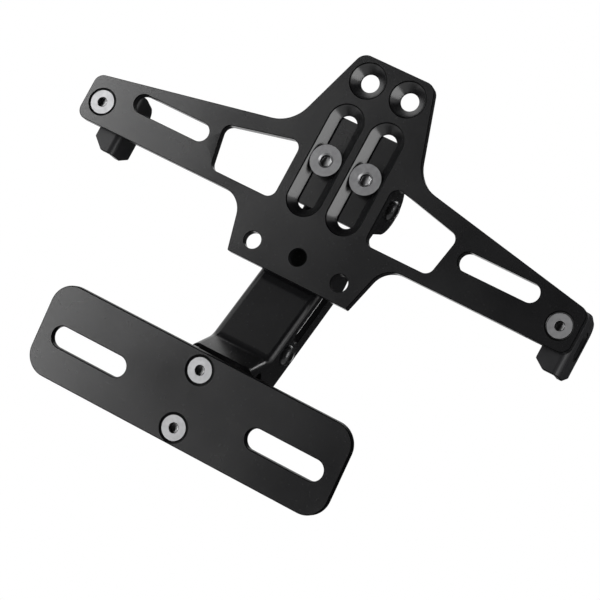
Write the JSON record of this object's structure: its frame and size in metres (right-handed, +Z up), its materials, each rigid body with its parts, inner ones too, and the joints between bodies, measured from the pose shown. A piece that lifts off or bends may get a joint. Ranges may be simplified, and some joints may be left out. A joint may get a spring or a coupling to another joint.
{
  "type": "motorcycle tail tidy bracket",
  "caption": "Adjustable tail tidy: cross-shaped black plate with slots and windows, hinged channel arm, tilting number plate bracket and indicator brackets.",
  "frame": {"origin": "on the back face of the main plate, halfway between the two holes in its top tab", "axes": "+X to the right seen from the front, +Y backward into the vehicle, +Z up; the front faces -Y"},
  "size_m": [0.273, 0.0886, 0.208],
  "materials": {
    "black_aluminium": "satin black anodised",
    "screw_steel": "plain stainless",
    "zinc_steel": "zinc plated"
  },
  "bodies": {
    "plate": {"main_plate": "black_aluminium", "indicator_bracket_left": "black_aluminium", "indicator_bracket_right": "black_aluminium", "indicator_screw_left": "screw_steel", "indicator_screw_right": "screw_steel", "indicator_washer_left": "zinc_steel", "indicator_washer_right": "zinc_steel", "indicator_nut_left": "zinc_steel", "indicator_nut_right": "zinc_steel"},
    "carriage": {"upper_bracket": "black_aluminium", "nut_plate": "zinc_steel", "slot_screw_left": "screw_steel", "slot_screw_right": "screw_steel", "upper_hinge_screw_left": "screw_steel", "upper_hinge_screw_right": "screw_steel", "upper_hinge_nut_left": "zinc_steel", "upper_hinge_nut_right": "zinc_steel"},
    "arm": {"arm": "black_aluminium", "lower_hinge_screw_left": "screw_steel", "lower_hinge_screw_right": "screw_steel", "lower_hinge_nut_left": "zinc_steel", "lower_hinge_nut_right": "zinc_steel"},
    "holder": {"lower_bracket": "black_aluminium", "number_plate_bracket": "black_aluminium", "carrier_screw_upper": "screw_steel", "carrier_screw_lower": "screw_steel", "carrier_nut_upper": "zinc_steel", "carrier_nut_lower": "zinc_steel", "lock_screw_left": "screw_steel", "lock_screw_right": "screw_steel", "lock_nut_left": "zinc_steel", "lock_nut_right": "zinc_steel"}
  },
  "joints": [
    {"name": "height_slide", "type": "slide", "parent": "plate", "child": "carriage", "axis": [0, 0, 1], "range_m": [-0.02, 0.001]},
    {"name": "arm_hinge", "type": "hinge", "parent": "carriage", "child": "arm", "pos_m": [0, 0.0247, -0.047], "axis": [1, 0, 0], "range_deg": [-0.3, 75]},
    {"name": "plate_tilt_hinge", "type": "hinge", "parent": "arm", "child": "holder", "pos_m": [0, -0.00167, -0.13339], "axis": [1, 0, 0], "range_deg": [-4, 19]}
  ]
}
